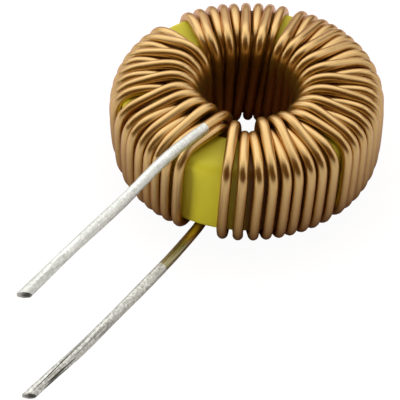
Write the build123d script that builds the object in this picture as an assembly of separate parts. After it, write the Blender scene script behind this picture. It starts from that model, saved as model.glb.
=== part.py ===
from build123d import *
import math
import os

# A toroidal inductor: enamelled copper wire wound on a coated ring of pressed iron powder.
# It lies flat. The ring's axis is +Z, the lowest turns touch z = 0, and both wire ends leave
# along -Y, one over the top of the ring and one under it. Lengths are in millimetres.

# Core
CORE_OUTER_DIAMETER = 23.9
CORE_WALL = 4.85
CORE_HEIGHT = 7.9
CORE_EDGE_RADIUS = 0.9
CORE_EDGE_STEPS = 3

# Wire, measured over its enamel, and over the solder on its bare ends
WIRE_DIAMETER = 1.00
TINNED_DIAMETER = 1.06
WIRE_CLEARANCE = 0.07
WIRE_SIDES = 8

# Turns lie in three groups with bare core between them. Each group has the angles of its first
# and last outer leg, and its pitch as a share of the closest pitch that the ring has room for.
TURN_GROUP_SHARES = (
    (-63.1, 98.1, 1.075),
    (108.1, 156.0, 1.04),
    (172.4, 276.2, 1.11),
)
# How much of a turn's pitch it has gained at each of its eight corners, from the outer end of
# its bottom run, up the outside, over the top, down the bore and back under the ring
ADVANCE_SHARES = (-0.04, 0.0, 0.22, 0.26, 0.44, 0.48, 0.70, 0.74)
# How much of the outer end of a turn's top run its neighbours may fill
OUTSIDE_FILL_SHARE = 0.93

# Start lead: out of the bore, over the top rim, up to a low crest and gently down to its tip
START_BORE_TOP_ANGLE = -76.0
START_BORE_BOTTOM_ANGLE = -70.0
START_ENAMEL_LENGTH = 1.6
START_CREST_OFFSET = 1.3
START_CREST_REACH = 14.5
START_CREST_RISE = 0.43
START_TIP_REACH = 33.3
START_TIP_DROP = 0.82

# Finish lead: under the ring to a first bend, on to a second one, then straight to its tip
FINISH_BORE_TOP_ANGLE = -74.4
FINISH_BORE_BOTTOM_ANGLE = -76.5
FINISH_BEND_OFFSET = 2.95
FINISH_BEND_REACH = 15.5
FINISH_ENAMEL_LENGTH = 1.9
FINISH_KINK_OFFSET = 3.35
FINISH_KINK_REACH = 28.5
FINISH_TIP_OFFSET = 3.22
FINISH_TIP_REACH = 35.6

LEAD_BEND_RADIUS = 30.0
# The snips left both ends cut aslant: this way faces out of the cut.
TIP_CUT_DIRECTION = (0.60, -0.70, -0.37)

# An eight-sided section with the area of a round one
WIRE_CORNER_SHARE = math.sqrt(math.pi / (WIRE_SIDES / 2 * math.sin(2 * math.pi / WIRE_SIDES)))
WIRE_CORNER_RADIUS = WIRE_DIAMETER / 2 * WIRE_CORNER_SHARE
WIRE_FLAT_RADIUS = WIRE_CORNER_RADIUS * math.cos(math.pi / WIRE_SIDES)

# Wire centre lines round the core's section, and how far a bend's two corners are cut back
STANDOFF = WIRE_CLEARANCE + WIRE_DIAMETER / 2
STACK = WIRE_DIAMETER + WIRE_CLEARANCE
CORNER_CUT_SHARE = 2 - math.sqrt(2)
CORNER_CUT = CORNER_CUT_SHARE * (CORE_EDGE_RADIUS + STANDOFF)
OUTER_RADIUS = CORE_OUTER_DIAMETER / 2 + STANDOFF
UNDER_RADIUS = CORE_OUTER_DIAMETER / 2 - CORE_WALL - STANDOFF
OVER_RADIUS = UNDER_RADIUS - STACK
OVER_CUT = CORNER_CUT_SHARE * (CORE_EDGE_RADIUS + STANDOFF + STACK)

# Straight runs over the ring, from the outer bend to the bend of the upper turns into the bore
RUN_START = OUTER_RADIUS - CORNER_CUT
RUN_END = OVER_RADIUS + OVER_CUT

# The bore has no room for all turns side by side, so they alternate between two layers there.
# Outside, they lie in one layer.
CLOSEST_PITCH = math.degrees(STACK / min(2 * OVER_RADIUS, OUTSIDE_FILL_SHARE * RUN_START))


def group_angles(first, last, pitch_share):
    """Angle and pitch of each turn of a group, spaced evenly from its first to its last."""
    steps = int((last - first) / (pitch_share * CLOSEST_PITCH))
    pitch = (last - first) / steps
    return [(first + step * pitch, pitch) for step in range(steps + 1)]


TURNS = [turn for group in TURN_GROUP_SHARES for turn in group_angles(*group)]

# An upper turn climbs towards the bore, all along just clear of the lower turns beside it.
TIGHTEST_PITCH = math.radians(min(pitch for angle, pitch in TURNS))
SIDE_GAP = TIGHTEST_PITCH * RUN_START
CLIMB = STACK * TIGHTEST_PITCH * (RUN_START - RUN_END) / math.sqrt(SIDE_GAP**2 - STACK**2)

# Heights of the wire's bottom and top runs, and of the core between them
BOTTOM = CLIMB + WIRE_FLAT_RADIUS
CORE_BASE = BOTTOM + STANDOFF
TOP = CORE_BASE + CORE_HEIGHT + STANDOFF
START_HEIGHT = TOP + STACK


def ring_point(radius, angle, height):
    turn = math.radians(angle)
    return Vector(radius * math.cos(turn), radius * math.sin(turn), height)


def bore_corners(radius, cut, climb, top_angle, bottom_angle):
    """The four corners of a leg in the bore, from over the top rim to under the bottom rim."""
    return [
        ring_point(radius + cut, top_angle, TOP + climb),
        ring_point(radius, top_angle, TOP + climb - cut),
        ring_point(radius, bottom_angle, BOTTOM - climb + cut),
        ring_point(radius + cut, bottom_angle, BOTTOM - climb),
    ]


def turn_corners(angle, pitch, upper):
    """One turn: up the outside, over the top, down the bore, in the upper or the lower layer."""
    radius, cut, climb = (OVER_RADIUS, OVER_CUT, CLIMB) if upper else (UNDER_RADIUS, CORNER_CUT, 0)
    profile = [
        (OUTER_RADIUS - CORNER_CUT, BOTTOM),
        (OUTER_RADIUS, BOTTOM + CORNER_CUT),
        (OUTER_RADIUS, TOP - CORNER_CUT),
        (OUTER_RADIUS - CORNER_CUT, TOP),
        (radius + cut, TOP + climb),
        (radius, TOP + climb - cut),
        (radius, BOTTOM - climb + cut),
        (radius + cut, BOTTOM - climb),
    ]
    return [ring_point(r, angle + pitch * share, z) for (r, z), share in zip(profile, ADVANCE_SHARES)]


# Start lead: its root bends over the top rim, and its enamel ends on the rising run.
START_DROP = bore_corners(
    OVER_RADIUS, OVER_CUT, CLIMB, START_BORE_TOP_ANGLE, START_BORE_BOTTOM_ANGLE
)[2:]
START_RIM = ring_point(OVER_RADIUS + OVER_CUT, START_BORE_TOP_ANGLE, START_HEIGHT)
START_BEND = ring_point(OVER_RADIUS, START_BORE_TOP_ANGLE, START_HEIGHT - OVER_CUT)
START_CREST = Vector(START_CREST_OFFSET, -START_CREST_REACH, START_HEIGHT + START_CREST_RISE)
START_TIP = Vector(START_CREST_OFFSET, -START_TIP_REACH, START_HEIGHT - START_TIP_DROP)
START_TIN_EDGE = START_RIM + (START_CREST - START_RIM).normalized() * START_ENAMEL_LENGTH

# Finish lead: the last turn drops down the bore in the lower layer and runs out under the ring.
FINISH_DROP = bore_corners(
    UNDER_RADIUS, CORNER_CUT, 0, FINISH_BORE_TOP_ANGLE, FINISH_BORE_BOTTOM_ANGLE
)
FINISH_BEND = Vector(FINISH_BEND_OFFSET, -FINISH_BEND_REACH, BOTTOM)
FINISH_KINK = Vector(FINISH_KINK_OFFSET, -FINISH_KINK_REACH, BOTTOM)
FINISH_TIP = Vector(FINISH_TIP_OFFSET, -FINISH_TIP_REACH, BOTTOM)
FINISH_TIN_EDGE = FINISH_BEND + (FINISH_KINK - FINISH_BEND).normalized() * FINISH_ENAMEL_LENGTH


def core():
    """The coated powder ring: its section is turned about the axis, with every edge rounded in steps."""
    centre = Vector((CORE_OUTER_DIAMETER - CORE_WALL) / 2, 0, CORE_BASE + CORE_HEIGHT / 2)
    across = CORE_WALL / 2 - CORE_EDGE_RADIUS
    along = CORE_HEIGHT / 2 - CORE_EDGE_RADIUS
    outline = []
    for quarter, (side, end) in enumerate(((1, 1), (-1, 1), (-1, -1), (1, -1))):
        for step in range(CORE_EDGE_STEPS + 1):
            turn = math.radians(90 * (quarter + step / CORE_EDGE_STEPS))
            x = side * across + CORE_EDGE_RADIUS * math.cos(turn)
            z = end * along + CORE_EDGE_RADIUS * math.sin(turn)
            outline.append(centre + Vector(x, 0, z))
    return revolve(make_face(Polyline(*outline, close=True)), axis=Axis.Z)


def wire_route():
    """The enamelled wire's corners, from where the start lead's tin ends to the finish lead's."""
    route = [START_TIN_EDGE, START_RIM, START_BEND, *START_DROP]
    last = len(TURNS) - 1
    for index, (angle, pitch) in enumerate(TURNS):
        upper = (last - index) % 2 == 1
        route += turn_corners(angle, pitch, upper)
    half_turn = len(FINISH_DROP)
    return route[:-half_turn] + FINISH_DROP + [FINISH_BEND, FINISH_TIN_EDGE]


def winding():
    """All turns of the enamelled wire, in one length, mitred at every corner."""
    route = wire_route()
    across = Plane(origin=route[0], x_dir=(1, 0, 0), z_dir=route[1] - route[0])
    section = across * RegularPolygon(WIRE_CORNER_RADIUS, WIRE_SIDES, rotation=180 / WIRE_SIDES)
    return sweep(section, path=Polyline(*route), transition=Transition.RIGHT)


def tinned_lead(edge, bend, tip):
    """A bare end of the wire, dipped in solder: round, bent once and snipped off aslant."""
    overrun = tip + (tip - bend).normalized() * TINNED_DIAMETER
    path = FilletPolyline(edge, bend, overrun, radius=LEAD_BEND_RADIUS)
    lead = sweep(Plane(origin=edge, z_dir=bend - edge) * Circle(TINNED_DIAMETER / 2), path=path)
    return split(lead, bisect_by=Plane(origin=tip, z_dir=TIP_CUT_DIRECTION), keep=Keep.BOTTOM)


os.makedirs("parts", exist_ok=True)
export_step(core(), "parts/core.step")
export_step(winding(), "parts/winding.step")
export_step(tinned_lead(START_TIN_EDGE, START_CREST, START_TIP), "parts/start_lead.step")
export_step(tinned_lead(FINISH_TIN_EDGE, FINISH_KINK, FINISH_TIP), "parts/finish_lead.step")

print(f"{len(TURNS)} turns, climb {CLIMB:.3f}, core from z {CORE_BASE:.3f}, start lead at {START_HEIGHT:.3f}")
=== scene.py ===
# %% [markdown]
# # A toroidal choke
# The real object is a ring of pressed iron powder in an olive-yellow coat, wound by hand with one
# length of enamelled copper wire. Both ends of the wire are dipped in solder and stick out to one
# side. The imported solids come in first: they fix every size and place, and the pieces made here
# stand in for them with round wire, soft bends and real finishes.

# %% Load the frame
import math

import bpy
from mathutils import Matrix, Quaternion, Vector


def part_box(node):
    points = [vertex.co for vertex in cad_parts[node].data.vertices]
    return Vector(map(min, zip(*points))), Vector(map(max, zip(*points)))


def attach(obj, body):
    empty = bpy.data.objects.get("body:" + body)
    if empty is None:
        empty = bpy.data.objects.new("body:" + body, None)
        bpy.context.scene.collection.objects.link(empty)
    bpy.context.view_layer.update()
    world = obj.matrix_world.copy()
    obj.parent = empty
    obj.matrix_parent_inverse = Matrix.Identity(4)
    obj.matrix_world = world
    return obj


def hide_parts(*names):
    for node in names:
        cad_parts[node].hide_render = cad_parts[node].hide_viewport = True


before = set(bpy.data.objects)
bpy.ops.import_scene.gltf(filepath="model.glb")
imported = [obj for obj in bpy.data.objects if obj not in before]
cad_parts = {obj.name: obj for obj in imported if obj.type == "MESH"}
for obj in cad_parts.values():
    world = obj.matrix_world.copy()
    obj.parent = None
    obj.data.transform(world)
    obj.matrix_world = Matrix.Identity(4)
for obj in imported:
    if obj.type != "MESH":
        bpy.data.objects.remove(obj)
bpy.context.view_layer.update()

# %% [markdown]
# ## Sizes
# Blender counts in metres and the coil is thought of in millimetres, so one factor turns one into
# the other. The ring's outside, top and bottom could be typed in, but reading them from the frame
# keeps this script true to the solids. Only what a box can't tell, such as the thickness of the
# ring's wall, is written down.

# %% Read the ring's sizes
MM = 0.001

core_low, core_high = [[c / MM for c in corner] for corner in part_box("core")]
core_radius = core_high[0]
core_wall = 4.85
core_base = core_low[2]
core_top = core_high[2]
ring_middle = (core_base + core_top) / 2
print(f"ring radius {core_radius:.2f}, from z {core_base:.2f} to {core_top:.2f} mm")

# %% [markdown]
# ## Camera
# The photo looks down on the coil at about 45 degrees through a long lens. A camera could be set by
# three angles, but an eye and the point that it looks at are easier to fit, and a slight roll then
# levels the table. Both points are measured from the ring's middle, so the view stays put if the
# coil is set higher or lower.

# %% Place the camera
eye = Vector((63.036, -88.094, ring_middle + 97.356)) * MM
aim = Vector((-0.075, -7.279, ring_middle - 5.664)) * MM
camera_roll = math.radians(-0.421)
focal_length = 135.88
sensor_width = 36.0
nearest_seen = 1.0

lens = bpy.data.cameras.new("photo_camera")
lens.lens = focal_length
lens.sensor_width = sensor_width
lens.clip_start = nearest_seen * MM
camera = bpy.data.objects.new("photo_camera", lens)
bpy.context.scene.collection.objects.link(camera)
towards_aim = (aim - eye).to_track_quat("-Z", "Y")
camera.rotation_mode = "QUATERNION"
camera.rotation_quaternion = towards_aim @ Quaternion((0, 0, 1), camera_roll)
camera.location = eye
bpy.context.scene.camera = camera
print(f"camera {(eye - aim).length / MM:.1f} mm from its aim")

# %% [markdown]
# ## The turns
# On the real coil the turns were laid by hand: their angles are uneven, and the ring shows through
# between three groups of them. There isn't room in the bore for all turns side by side, so about
# every other turn climbs over its neighbours and hangs in front of them there. Evenly spaced
# copies would look machine-made, so each turn is written down with the angle of its leg outside
# the ring, the angle where it bends into the bore, and its lift there: 0 in the lower layer, 1 in
# the upper one, and in between where a turn sits halfway.

# %% Angles of the turns, in degrees about the ring's axis
first_outer = [-63.1, -56.2, -49.4, -43.6, -37.8, -32.7, -27.0, -21.6, -15.5, -7.5, -2.4, 3.3]
first_outer += [9.6, 16.0, 22.3, 28.7, 35.2, 42.5, 51.0, 58.0, 64.5, 70.5, 76.0, 81.3, 86.6]
first_outer += [92.6, 98.1]
first_rim = [-63.5, -55.5, -49.0, -41.3, -36.5, -30.7, -26.0, -21.5, -15.5, -10.5, -2.0, 4.8]
first_rim += [7.2, 16.5, 20.3, 28.5, 33.0, 41.0, 44.5, 54.0, 57.5, 66.0, 69.0, 77.5, 80.5]
first_rim += [88.5, 91.3]
first_lift = [0.55, 0, 0, 0.8, 0, 0.8, 0, 0.9, 0, 0.7] + [1, 0] * 8 + [1]

second_outer = [108.1, 114.3, 120.0, 126.2, 132.2, 137.6, 143.3, 149.6, 155.8]
second_rim = [107.0, 113.5, 120.0, 128.0, 134.0, 143.0, 147.2, 158.0, 161.5]
second_lift = [0, 0.8, 0, 0.8, 0, 0.6, 0, 0.5, 0]

third_outer = [173.8, 181.0, 187.5, 194.5, 201.2, 207.3, 213.4, 219.5, 224.5]
third_outer += [234.5, 243.0, 248.0, 254.5, 260.0, 265.0, 270.3, 276.2]
third_rim = [174.0, 180.5, 188.0, 193.7, 201.0, 205.7, 212.0, 218.3, 225.5]
third_rim += [231.0, 243.5, 247.0, 255.5, 260.0, 268.5, 273.0, 286.5]
third_lift = [0, 1, 0, 1, 0, 1, 0, 1, 0, 0.9, 1, 0, 1, 0, 1, 0, 0.25]

outer_angles = first_outer + second_outer + third_outer
rim_angles = first_rim + second_rim + third_rim
lifts = first_lift + second_lift + third_lift
print(f"{len(outer_angles)} turns, {sum(lift > 0 for lift in lifts)} of them in the upper layer")

# %% [markdown]
# ## The wire's route
# One wire makes the whole coil, so one route is worked out for it, from the tip of the upper lead
# to the tip of the lower one. A single turn could be modelled once and copied round the ring, but
# no two turns are alike here. So every turn is a row of corners, in millimetres, and the corners
# keep to a few lines round the ring's section: outside it, over it, under it, and two layers deep
# in its bore.

# %% Lines round the ring's section
wire_diameter = 1.00
clearance = 0.07
bore_slack = 0.10

standoff = wire_diameter / 2 + clearance
outside = core_radius + standoff
lower_bore = core_radius - core_wall - standoff - bore_slack
upper_bore = 4.85
run_top = core_top + standoff
run_bottom = core_base - standoff
print(f"wire at {outside:.2f} outside, {lower_bore:.2f} and {upper_bore:.2f} mm in the bore")


# %% Corners of a bend
def ring_point(radius, degrees, height):
    turn = math.radians(degrees)
    return Vector((radius * math.cos(turn), radius * math.sin(turn), height))


def bend_corners(radius, height, bend, run_way, leg_way, degrees):
    """Three corners of a bend, from a run at this height to a leg at this radius.

    run_way is 1 where the run leads away from the ring's axis and -1 where it leads towards it.
    leg_way is 1 where the leg goes up from the run and -1 where it goes down.
    """
    halfway = bend * (1 - math.sqrt(0.5))
    steps = ((bend, 0), (halfway, halfway), (0, bend))
    return [ring_point(radius + run_way * a, degrees, height + leg_way * b) for a, b in steps]


print("a bend of 1 mm:", [(round(p.x, 2), round(p.z, 2)) for p in bend_corners(0, 0, 1, 1, 1, 0)])

# %% [markdown]
# ### Bends into the bore
# A turn in the upper layer climbs over its neighbours towards the bore and hangs in front of them.
# The hole that is left isn't quite central, so the upper layer is shifted to one side. On the left
# and right of the photo the bends at the top are rounder than on the near and far side, and most
# so in the upper layer. A cosine of the angle gives both effects without a list of numbers.

# %% Corners of a bend into the bore
climb = 0.97
lower_bend = 1.25
upper_bend = 1.35
hole_shift = 0.25
hole_shift_angle = -20.0
side_bend = 0.35
side_bend_lifted = 0.75
side_angle = 15.0


def rim_corners(degrees, lift, upward):
    """Corners of a bend at the bore's top (upward 1) or bottom (-1), in the layer lift tells."""
    shift = hole_shift * math.cos(math.radians(degrees - hole_shift_angle))
    bore = lower_bore + lift * (upper_bore + shift - lower_bore)
    bend = lower_bend + lift * (upper_bend - lower_bend)
    if upward > 0:
        sideways = math.cos(math.radians(degrees - side_angle)) ** 2
        bend += (side_bend + side_bend_lifted * lift) * sideways
    height = run_top + lift * climb if upward > 0 else run_bottom - lift * climb
    return bend_corners(bore, height, bend, 1, -upward, degrees)


print(f"bends of {lower_bend} to {upper_bend + side_bend + side_bend_lifted:.2f} mm into the bore")

# %% [markdown]
# ### One whole turn
# Outside the ring a leg leans a little in the sense of the winding, and it bulges at its middle,
# because stiff wire springs back. On the left of the photo the turns were pulled less tight: they
# stand further off the ring there, with rounder shoulders. A cosine again tells how loose a turn
# is by its angle.

# %% Corners of one turn
outer_bend = 1.4
leg_lean = 0.9
leg_bulge = 0.06
foot_drop = 0.15
loose_angle = 195.0
loose_bulge = 0.10
loose_gap = 0.12
loose_rise = 0.15
loose_bend = 0.7


def turn_corners(angle, rim, lift, foot, foot_lift):
    """Corners of one turn: up the outside, over the top, down the bore and out under the ring."""
    loose = max(0.0, math.cos(math.radians(angle - loose_angle)))
    corners = bend_corners(outside, run_bottom - foot_drop, outer_bend, -1, 1, angle - leg_lean)
    corners += [ring_point(outside + leg_bulge + loose_bulge * loose, angle, ring_middle)]
    shoulder_radius = outside + loose_gap * loose
    shoulder_height = run_top + loose_rise * loose
    shoulder_bend = outer_bend + loose_bend * loose
    shoulder_angle = angle + leg_lean
    corners += reversed(
        bend_corners(shoulder_radius, shoulder_height, shoulder_bend, -1, -1, shoulder_angle)
    )
    corners += rim_corners(rim, lift, 1)
    corners += reversed(rim_corners(foot, foot_lift, -1))
    return corners


print(len(turn_corners(0, 0, 0, 0, 0)), "corners in one turn")

# %% [markdown]
# ### The leads
# The wire's first end comes up out of the bore, bends over the rim, rises to a low crest and then
# runs out, falling gently. Its last end leaves under the ring and is bent twice on its way out.
# Both were bent by fingers, so no formula fits them: a few corners were tried against the photo
# until the leads lay over it. Each runs on a little past its tip, where it is cut later.

# %% Corners of the leads
start_offset = 1.5
start_rises = [(-34.6, 4.50), (-32.75, 4.63), (-27.0, 5.08), (-20.0, 5.32)]
start_rises += [(-18.0, 5.56), (-15.1, 5.95), (-12.2, 5.90), (-8.2, 5.50)]
start_corners = [Vector((start_offset, y, ring_middle + rise)) for y, rise in start_rises]

# The upper lead's root: how far out from the upper layer, its angle, and its rise
start_root = [(0.9, -75.0, 5.05), (-0.2, -75.0, 3.9)]
for out, degrees, rise in start_root:
    start_corners.append(ring_point(upper_bore + out, degrees, ring_middle + rise))
start_leg_angle = -78.0
start_foot_angle = -74.0
start_corners += [
    ring_point(upper_bore, start_leg_angle, run_bottom - climb + upper_bend),
    ring_point(upper_bore + upper_bend, start_foot_angle, run_bottom - climb),
]

finish_places = [(2.66, -10.8), (3.12, -15.6), (3.30, -19.5), (3.42, -22.8), (3.55, -27.0)]
finish_places += [(3.60, -29.2), (3.48, -31.8), (3.42, -35.4), (3.40, -37.0)]
finish_corners = [Vector((x, y, run_bottom)) for x, y in finish_places]
print(f"{len(start_corners)} corners in the upper lead, {len(finish_corners)} in the lower one")

# %% [markdown]
# ### Feet in the bore
# By the time a turn bends out of the bore under the ring, it has moved on towards the next turn,
# most on the far side. The camera looks into the bore there, so the far group's feet and the one
# before them get an angle and a layer of their own, and the rest follow a cosine.

# %% Angle and layer of each foot
foot_lean = 5.0
far_foot_lean = 5.0
far_angle = 112.0

feet = []
for rim, lift in zip(rim_angles, lifts):
    far = math.cos(math.radians(rim - far_angle))
    feet.append((rim + foot_lean + far_foot_lean * far, lift))

far_feet = [(101.0, 1), (113.0, 0.9), (124.5, 0.9), (131.0, 0.5), (137.5, 0.9)]
far_feet += [(143.5, 0.5), (149.5, 0.9), (155.0, 0.5), (160.5, 0.9), (170.0, 0.6)]
first_far = len(first_outer) - 1
feet[first_far:first_far + len(far_feet)] = far_feet
leans = [foot - rim for (foot, lift), rim in zip(feet, rim_angles)]
print(f"feet lean on by {min(leans):.1f} to {max(leans):.1f} degrees")

# %% Lay all corners down in order
route_corners = list(start_corners)
for angle, rim, lift, (foot, foot_lift) in zip(outer_angles, rim_angles, lifts, feet):
    route_corners += turn_corners(angle, rim, lift, foot, foot_lift)

# The last turn's foot leads out under the ring, in the lower layer.
finish_foot_angle = -76.5
finish_foot = bend_corners(lower_bore, run_bottom, lower_bend, 1, 1, finish_foot_angle)
route_corners[-len(finish_foot):] = reversed(finish_foot)
route_corners += finish_corners
print(f"{len(route_corners)} corners along the whole wire")

# %% [markdown]
# ## From corners to a bent wire
# Stiff wire has no sharp corners. Curve handles could round them, but they swing out where a long
# run meets a short one, and there are hundreds of corners. So the route is stepped off evenly, and
# each step takes the mean of the steps round it, twice over. That rounds every corner alike, as
# fingers pulling on a wire would.

# %% Step along the route and soften it
route_step = 0.30
soft_reach = 3
soft_rounds = 2


def stepped(corners, step):
    """Points along straight runs from corner to corner, about a step apart."""
    points = []
    for here, there in zip(corners, corners[1:]):
        count = max(1, round((there - here).length / step))
        points += [here.lerp(there, i / count) for i in range(count)]
    return points + [corners[-1]]


def softened(points, reach):
    """Each point becomes the mean of its neighbours within reach, less near the ends."""
    soft = []
    for index in range(len(points)):
        near = min(reach, index, len(points) - 1 - index)
        window = points[index - near:index + near + 1]
        soft.append(sum(window, Vector()) / len(window))
    return soft


route = stepped(route_corners, route_step)
for _ in range(soft_rounds):
    route = softened(route, soft_reach)
print(f"{len(route)} points along the wire")

# %% [markdown]
# ## The wire and its tinned ends
# On the real coil one wire runs all the way, and at a crisp edge on each lead the enamel stops and
# the solder begins. The route is parted at those two edges. Each of the three lengths becomes a
# curve with a round bevel, which Blender sweeps along the points, and then a mesh, because a mesh
# can be cut. A curve also takes a thickness at each point: solder runs as it sets, so the tinned
# ends are never quite even.

# %% Find where the enamel ends on both leads
start_tin_y = -8.75
finish_tin_y = -17.4

start_edge = next(i for i, p in enumerate(route) if p.y > start_tin_y)
finish_edge = len(route) - next(i for i, p in enumerate(reversed(route)) if p.y > finish_tin_y)
print(f"enamel from point {start_edge} to {finish_edge}")

# %% Sweep a round section along each length
section_rounding = 5
smooth_angle = math.radians(50)


def wire_piece(name, points, diameter, swell=None):
    """A round wire along the points, made a mesh. Swell tells how thick it is at each point."""
    bpy.ops.object.select_all(action="DESELECT")
    line = bpy.data.curves.new(name, "CURVE")
    line.dimensions = "3D"
    line.bevel_depth = diameter / 2 * MM
    line.bevel_resolution = section_rounding
    line.use_fill_caps = True
    spline = line.splines.new("POLY")
    spline.points.add(len(points) - 1)
    for index, (knot, point) in enumerate(zip(spline.points, points)):
        knot.co = (*(point * MM), 1)
        knot.radius = swell(index) if swell else 1.0
    piece = bpy.data.objects.new(name, line)
    bpy.context.scene.collection.objects.link(piece)
    bpy.context.view_layer.objects.active = piece
    piece.select_set(True)
    bpy.ops.object.convert(target="MESH")
    piece = bpy.context.view_layer.objects.active
    bpy.ops.object.shade_smooth_by_angle(angle=smooth_angle)
    print(name, len(piece.data.polygons), "faces")
    return piece


winding = wire_piece("winding_wire", route[start_edge:finish_edge], wire_diameter)

# %% Sweep the tinned ends, with uneven solder
tinned_diameter = 1.06
mean_swell = 0.955
long_swell, long_rate = 0.03, 0.196
short_swell, short_rate = 0.01, 1.1


def solder_swell(index):
    """How thick a tinned end is at a point, as a share of its diameter: long waves and short."""
    long_wave = long_swell * math.sin(long_rate * index)
    short_wave = short_swell * math.sin(short_rate * index)
    return mean_swell + long_wave + short_wave


start_points = route[:start_edge + 1]
finish_points = route[finish_edge - 1:]
start_lead = wire_piece("start_lead_wire", start_points, tinned_diameter, solder_swell)
finish_lead = wire_piece("finish_lead_wire", finish_points, tinned_diameter, solder_swell)

# %% [markdown]
# ## Snipped tips
# Snips leave a slanted cut. A slanted end could be built into the curve, but cutting is what a
# maker does too: both leads are bisected with a slanted plane in edit mode, what lies past it is
# cleared, and the hole is filled with one flat face.

# %% Cut both tips
cut_facing = Vector((0.60, -0.76, -0.25)).normalized()
start_tip = start_corners[1]
finish_tip = finish_corners[-2]


def snip(piece, tip, facing):
    """Cut a lead through its tip, across the way given."""
    bpy.ops.object.select_all(action="DESELECT")
    bpy.context.view_layer.objects.active = piece
    piece.select_set(True)
    bpy.ops.object.mode_set(mode="EDIT")
    bpy.ops.mesh.select_all(action="SELECT")
    bpy.ops.mesh.bisect(plane_co=tip * MM, plane_no=facing, use_fill=True, clear_outer=True)
    bpy.ops.object.mode_set(mode="OBJECT")
    bpy.ops.object.shade_smooth_by_angle(angle=smooth_angle)
    print(piece.name, "cut, with", len(piece.data.polygons), "faces left")


snip(start_lead, start_tip, cut_facing)
snip(finish_lead, finish_tip, cut_facing)

# %% [markdown]
# ## The ring
# A pressed ring has a rectangular section with worn, rounded edges. A torus has a round section and
# wouldn't do, so the section's outline is drawn once as a chain of points, and spinning it about
# the axis in edit mode makes the ring. The spin ends where it began, so any doubled points are
# merged, and the faces are turned outwards.

# %% Draw the ring's section
edge_radius = 0.9
corner_steps = 6

section = []
across = core_wall / 2 - edge_radius
along = (core_top - core_base) / 2 - edge_radius
for quarter, (side, end) in enumerate(((1, 1), (-1, 1), (-1, -1), (1, -1))):
    for step in range(corner_steps + 1):
        turn = math.radians(90 * (quarter + step / corner_steps))
        x = core_radius - core_wall / 2 + side * across + edge_radius * math.cos(turn)
        z = ring_middle + end * along + edge_radius * math.sin(turn)
        section.append(Vector((x, 0, z)) * MM)
section_edges = [(i, (i + 1) % len(section)) for i in range(len(section))]
print(f"{len(section)} points in the ring's section")

# %% Spin it about the axis
spin_steps = 144
merge_distance = 0.001

ring_mesh = bpy.data.meshes.new("core_ring")
ring_mesh.from_pydata(section, section_edges, [])
ring = bpy.data.objects.new("core_ring", ring_mesh)
bpy.context.scene.collection.objects.link(ring)
bpy.ops.object.select_all(action="DESELECT")
bpy.context.view_layer.objects.active = ring
ring.select_set(True)
bpy.ops.object.mode_set(mode="EDIT")
bpy.ops.mesh.select_all(action="SELECT")
bpy.ops.mesh.spin(steps=spin_steps, angle=2 * math.pi, center=(0, 0, 0), axis=(0, 0, 1))
bpy.ops.mesh.select_all(action="SELECT")
bpy.ops.mesh.remove_doubles(threshold=merge_distance * MM)
bpy.ops.mesh.normals_make_consistent(inside=False)
bpy.ops.object.mode_set(mode="OBJECT")
bpy.ops.object.shade_smooth_by_angle(angle=smooth_angle)
print("core_ring", len(ring.data.polygons), "faces")

# %% [markdown]
# ## Finishes
# A finish is a net of shader nodes. Nets can be drawn by hand in the shader editor, but sums read
# best as Python, so one small class wraps a socket and turns operators into Math nodes. Patterns
# are laid out in each piece's own space, so they sit still on it from every side.


# %% A socket that can be reckoned with
class Socket:
    """A shader socket: + - * add Math nodes, and node() adds any other node."""

    def __init__(self, tree, socket=None):
        self.tree = tree
        self.socket = socket

    def node(self, kind, settings=None, out=0, **inputs):
        """Add a node: its settings first, then its sockets by name, or by number as i0, i1..."""
        made = self.tree.nodes.new(kind)
        for key, value in (settings or {}).items():
            setattr(made, key, value)
        for key, value in inputs.items():
            numbered = key[0] == "i" and key[1:].isdigit()
            place = made.inputs[int(key[1:]) if numbered else key.replace("_", " ")]
            if isinstance(value, Socket):
                self.tree.links.new(value.socket, place)
            else:
                place.default_value = value
        return Socket(self.tree, made.outputs[out])

    def maths(self, operation, first, second):
        return self.node("ShaderNodeMath", {"operation": operation}, i0=first, i1=second)

    def __add__(self, other):
        return self.maths("ADD", self, other)

    def __radd__(self, other):
        return self.maths("ADD", other, self)

    def __sub__(self, other):
        return self.maths("SUBTRACT", self, other)

    def __rsub__(self, other):
        return self.maths("SUBTRACT", other, self)

    def __mul__(self, other):
        return self.maths("MULTIPLY", self, other)

    def __rmul__(self, other):
        return self.maths("MULTIPLY", other, self)

    def clamped(self, low, high):
        """0 where this socket is at low, 1 where it's at high, even in between."""
        return self.node("ShaderNodeMapRange", Value=self, From_Min=low, From_Max=high)

    def blend(self, first, second):
        """One colour where this socket is 0, another where it's 1."""
        colours = {"data_type": "RGBA"}
        return self.node("ShaderNodeMix", colours, out=2, i0=self, i6=first, i7=second)

    def feed(self, place):
        self.tree.links.new(self.socket, place)


# %% Helpers that every finish uses
def new_finish(name):
    """A material with its wrapped tree and its Principled shader's inputs."""
    finish = bpy.data.materials.new(name)
    finish.use_nodes = True
    tree = finish.node_tree
    return finish, Socket(tree), tree.nodes["Principled BSDF"].inputs


def spot(net):
    """The spot on the piece, in the piece's own space."""
    return net.node("ShaderNodeTexCoord", out="Object")


def along_axis(net, axis):
    """How far the spot lies along X, Y or Z."""
    return net.node("ShaderNodeSeparateXYZ", out=axis, Vector=spot(net))


def measure(net, operation, **vectors):
    """A number from vectors, such as a length or a distance."""
    return net.node("ShaderNodeVectorMath", {"operation": operation}, out="Value", **vectors)


def noise(net, scale, detail, squeeze=(1, 1, 1)):
    """A cloudy value between 0 and 1, drawn out along an axis where squeeze is low."""
    drawn = net.node("ShaderNodeVectorMath", {"operation": "MULTIPLY"}, i0=spot(net), i1=squeeze)
    return net.node("ShaderNodeTexNoise", Vector=drawn, Scale=scale, Detail=detail)


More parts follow.
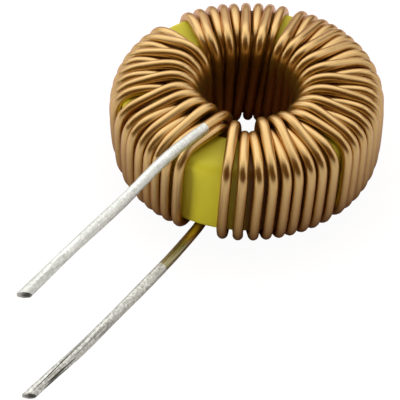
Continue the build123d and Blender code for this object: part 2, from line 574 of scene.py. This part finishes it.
# %% [markdown]
# ### Enamelled copper
# Copper shines through clear amber enamel. A plain metal would look like bare wire, so the metal
# gets a coat with a soft shine of its own, and its colour drifts a little along the wire. On the
# lower lead the enamel next to the solder lies low in shade, and is painted a dull dark olive as
# painted shade.

# %% Finish the enamelled copper
copper_dark = (0.550, 0.312, 0.031, 1)
copper_light = (0.620, 0.374, 0.050, 1)
painted_root_shade = (0.28, 0.25, 0.050, 1)
root_shade_start = -12.8
root_shade_full = -14.0

enamel, net, look = new_finish("enamelled_copper")
clean = noise(net, scale=420.0, detail=3.0).blend(copper_dark, copper_light)
# Painted shade: where the lower lead runs out past the ring, its enamel is painted dark olive.
root_shade = along_axis(net, "Y").clamped(root_shade_start * MM, root_shade_full * MM)
root_shade.blend(clean, painted_root_shade).feed(look["Base Color"])
look["Metallic"].default_value = 0.90
look["Roughness"].default_value = 0.30
look["Specular Tint"].default_value = (0.85, 0.38, 0.12, 1)
look["Coat Weight"].default_value = 1.0
look["Coat IOR"].default_value = 2.2
look["Coat Roughness"].default_value = 0.26
print(f"{enamel.name}: {len(net.tree.nodes)} nodes")

# %% [markdown]
# ### Tinned wire
# The bare ends were dipped in solder, which set as a frosty silver skin. Towards the tips it has
# dark streaks along the wire, and the cut face gets a painted dark reflection at its heart, in a
# smeared grey rim. A painted picture could carry all this, but noise and distances in the piece's
# own space need no unwrapping. The lower end is more streaked than the upper one, and its tones are
# darker as painted shade, because it lies low in the coil's shade; so one recipe makes both, each
# with its own tones.

# %% Dark streaks along the wire
streak_start = 12.0
streak_full = 4.0
streak_least = 0.12
streak_squeeze = (1, 0.035, 1)


def tin_streaks(net, tip, most):
    """How dark the streaks are: faint all along, and stronger by most near the tip."""
    near_tip = along_axis(net, "Y").clamped((tip.y + streak_start) * MM, (tip.y + streak_full) * MM)
    lines = noise(net, scale=5200.0, detail=1.0, squeeze=streak_squeeze)
    return lines.clamped(low=0.50, high=0.58) * (near_tip * most + streak_least)


print(f"streaks fade in from {streak_start} to {streak_full} mm before a tip")

# %% The snipped face
cut_start = 0.03
cut_full = 0.01
heart_shift = Vector((0.1, 0.25, 0.1))
heart_radius = 0.30
face_radius = 0.62
# Painted dark reflection: the heart of each cut face is painted nearly black.
painted_dark_heart = (0.03, 0.03, 0.025, 1)
face_rim = (0.45, 0.45, 0.42, 1)


def snipped_face(net, tip):
    """Where the cut face is, and its colour: a painted dark reflection at its heart, in a grey rim.
    """
    level = tip.dot(cut_facing) * MM
    reach = measure(net, "DOT_PRODUCT", i0=spot(net), i1=cut_facing)
    cut = reach.clamped(level - cut_start * MM, level - cut_full * MM)
    from_heart = measure(net, "DISTANCE", i0=spot(net), i1=(tip + heart_shift) * MM)
    face = from_heart.clamped(heart_radius * MM, face_radius * MM).blend(painted_dark_heart, face_rim)
    return cut, face


print(f"cut faces are dark up to {heart_radius} mm from their heart")

# %% Finish both tinned ends
streak_tone = (0.07, 0.07, 0.055, 1)
grain_depth = 0.04


def tin_finish(name, tip, dull, bright, streaked):
    """Frosty solder with dark streaks towards the tip, and a painted dark reflection where the snips
    cut it.
    """
    finish, net, look = new_finish(name)
    frost = noise(net, scale=4200.0, detail=3.0).clamped(low=0.3, high=0.7).blend(dull, bright)
    skin = tin_streaks(net, tip, streaked).blend(frost, streak_tone)
    cut, face = snipped_face(net, tip)
    cut.blend(skin, face).feed(look["Base Color"])
    look["Metallic"].default_value = 0.85
    look["Roughness"].default_value = 0.42
    grain = noise(net, scale=5200.0, detail=2.0)
    bumps = net.node("ShaderNodeBump", Strength=0.25, Distance=grain_depth * MM, Height=grain)
    bumps.feed(look["Normal"])
    print(f"{name}: {len(net.tree.nodes)} nodes")
    return finish


start_tones = (0.65, 0.70, 0.65, 1), (0.94, 0.99, 0.94, 1)
# Painted shade: the lower lead lies low in shade, so its tin tones are painted darker than the upper
# lead's.
shaded_finish_tones = (0.38, 0.40, 0.36, 1), (0.90, 0.93, 0.87, 1)
start_tin = tin_finish("dipped_tin_start", start_tip, *start_tones, streaked=0.15)
finish_tin = tin_finish("dipped_tin_finish", finish_tip, *shaded_finish_tones, streaked=0.85)

# %% [markdown]
# ### Core coat
# The ring wears an olive-yellow epoxy coat, satin and faintly mottled. It shows its colour only in
# the gaps between the turns. Under close turns just a brown glimmer is left of it. Light that
# bounces very many times would give that, but slowly, so that shade is painted: the bearing round
# the axis tells the coat where it is bare, and where it lies under wire it is painted a dark brown
# shade.

# %% Find the bare sectors of the ring
# Each has its bearing, half its width and its fading edge in degrees, and how bare it is.
bare_sectors = [(-72.5, 10.0, 11.0, 1.0), (-11.5, 1.5, 5.0, 1.0), (103.0, 5.5, 5.0, 1.0)]
bare_sectors += [(164.8, 9.0, 5.0, 1.0), (-131.0, 1.0, 4.0, 0.65)]

coat, net, look = new_finish("olive_yellow_coat")
bearing = net.maths("ARCTAN2", along_axis(net, "Y"), along_axis(net, "X"))
bare = 0.0
for centre, half, fade, share in bare_sectors:
    away = net.maths("ABSOLUTE", bearing - math.radians(centre), 0.0)
    bare = away.clamped(math.radians(half + fade), math.radians(half)) * share + bare
print(len(bare_sectors), "bare sectors on the ring")

# %% Finish the core coat
coat_dark = (0.62, 0.565, 0.030, 1)
coat_light = (0.72, 0.67, 0.042, 1)
# Painted shade: where the coat lies under close turns it is painted dark brown.
painted_shade_under_wire = (0.20, 0.07, 0.006, 1)

mottled = noise(net, scale=300.0, detail=4.0).blend(coat_dark, coat_light)
bare.blend(painted_shade_under_wire, mottled).feed(look["Base Color"])
look["Roughness"].default_value = 0.55
look["Specular IOR Level"].default_value = 0.25
print(f"{coat.name}: {len(net.tree.nodes)} nodes")

# %% [markdown]
# ## Dressing the pieces
# Each piece gets its finish, rides on the coil's one body, and takes the place of its imported
# solid.
# Nothing on this object moves, so all four ride together.

# %% Dress the pieces
for piece, finish, node, slot in (
    (ring, coat, "core", "core_coating"),
    (winding, enamel, "winding", "enamelled_wire"),
    (start_lead, start_tin, "start_lead", "tinned_wire"),
    (finish_lead, finish_tin, "finish_lead", "tinned_wire"),
):
    piece.data.materials.clear()
    piece.data.materials.append(finish)
    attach(piece, "root")
    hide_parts(node)
    print(piece.name, "wears", finish.name)

# %% [markdown]
# ## Floor
# The photo's ground is pure white. More light would bleach the coil too, so the floor itself glows
# for rays that come from the camera, and a little for rays that the wire mirrors. In the coil's own
# shade the paper is dark and warm instead and isn't mirrored as white, so the bore stays dark.

# %% Lay the floor
shade_radius = 11.0
open_radius = 24.0
# Painted shade: near the coil the paper is painted dark, with a painted warm tint for the copper's
# bounce light.
paper_in_shade = (0.16, 0.05, 0.02, 1)
paper_in_light = (0.85, 0.85, 0.85, 1)

bpy.ops.object.select_all(action="DESELECT")
bpy.ops.mesh.primitive_plane_add(size=2.0, location=(0, 0, 0))
floor = bpy.context.view_layer.objects.active
floor.name = "floor"
paper, net, look = new_finish("white_paper")
floor.data.materials.append(paper)
look["Roughness"].default_value = 0.9
from_axis = measure(net, "LENGTH", i0=spot(net))
in_light = from_axis.clamped(shade_radius * MM, open_radius * MM)
in_light.blend(paper_in_shade, paper_in_light).feed(look["Base Color"])
print(f"floor shaded up to {open_radius} mm from the ring's axis")

# %% Make it glow
mirrored_share = 0.19
glow_share = 0.8
glow_strength = 1.2

by_camera = net.node("ShaderNodeLightPath", out="Is Camera Ray")
by_mirror = net.node("ShaderNodeLightPath", out="Is Glossy Ray")
seen = by_camera + by_mirror * in_light * mirrored_share
plain = Socket(net.tree, net.tree.nodes["Principled BSDF"].outputs[0])
glow = net.node("ShaderNodeEmission", Color=(1, 1, 1, 1), Strength=glow_strength)
mixed = net.node("ShaderNodeMixShader", i0=seen * glow_share, i1=plain, i2=glow)
mixed.feed(net.tree.nodes["Material Output"].inputs[0])
print(f"{paper.name}: {len(net.tree.nodes)} nodes")

# %% [markdown]
# ## Light
# Shiny wire shows whatever stands round it, so the lamps are made for their reflections: a large
# soft box overhead for the broad sheen, a smaller one in front of it for the bright line along each
# turn, and boxes to both sides for the legs. One small lamp only fills the front and isn't
# mirrored. The room itself is dim and warm, which keeps the gaps between turns deep.

# %% Dim the room
room_colour = (0.080, 0.021, 0.003, 1)

world = bpy.data.worlds.new("dim_studio")
world.use_nodes = True
room = world.node_tree.nodes["Background"].inputs
room["Color"].default_value = room_colour
room["Strength"].default_value = 1.0
bpy.context.scene.world = world
print("room colour", room_colour[:3])


# %% Hang the lamps
def softbox(name, place, size, brightness):
    """A square lamp that faces the coil. Its power follows from how bright its face looks."""
    lamp = bpy.data.lights.new(name, "AREA")
    lamp.size = size * MM
    lamp.energy = brightness * math.pi * (size * MM) ** 2
    box = bpy.data.objects.new(name, lamp)
    bpy.context.scene.collection.objects.link(box)
    box.location = Vector(place) * MM
    box.rotation_mode = "QUATERNION"
    box.rotation_quaternion = (-box.location).to_track_quat("-Z", "Y")
    print(f"{name}: {lamp.energy:.3f} W")
    return box


softbox("overhead_box", (-98, 122, 258), size=630, brightness=0.80)
softbox("key_box", (-98, 126, 254), size=280, brightness=0.75)
softbox("left_box", (-270, -10, 150), size=300, brightness=0.7)
softbox("left_front_box", (-225, -140, 125), size=170, brightness=0.9)
softbox("right_box", (225, 150, 150), size=320, brightness=0.9)
fill = softbox("fill_box", (-165, -225, 55), size=110, brightness=13.0)
fill.visible_glossy = False

# %% [markdown]
# ## Look settings
# The Standard view shows colours as they are written.

# %% Set the view
bpy.context.scene.view_settings.view_transform = "Standard"
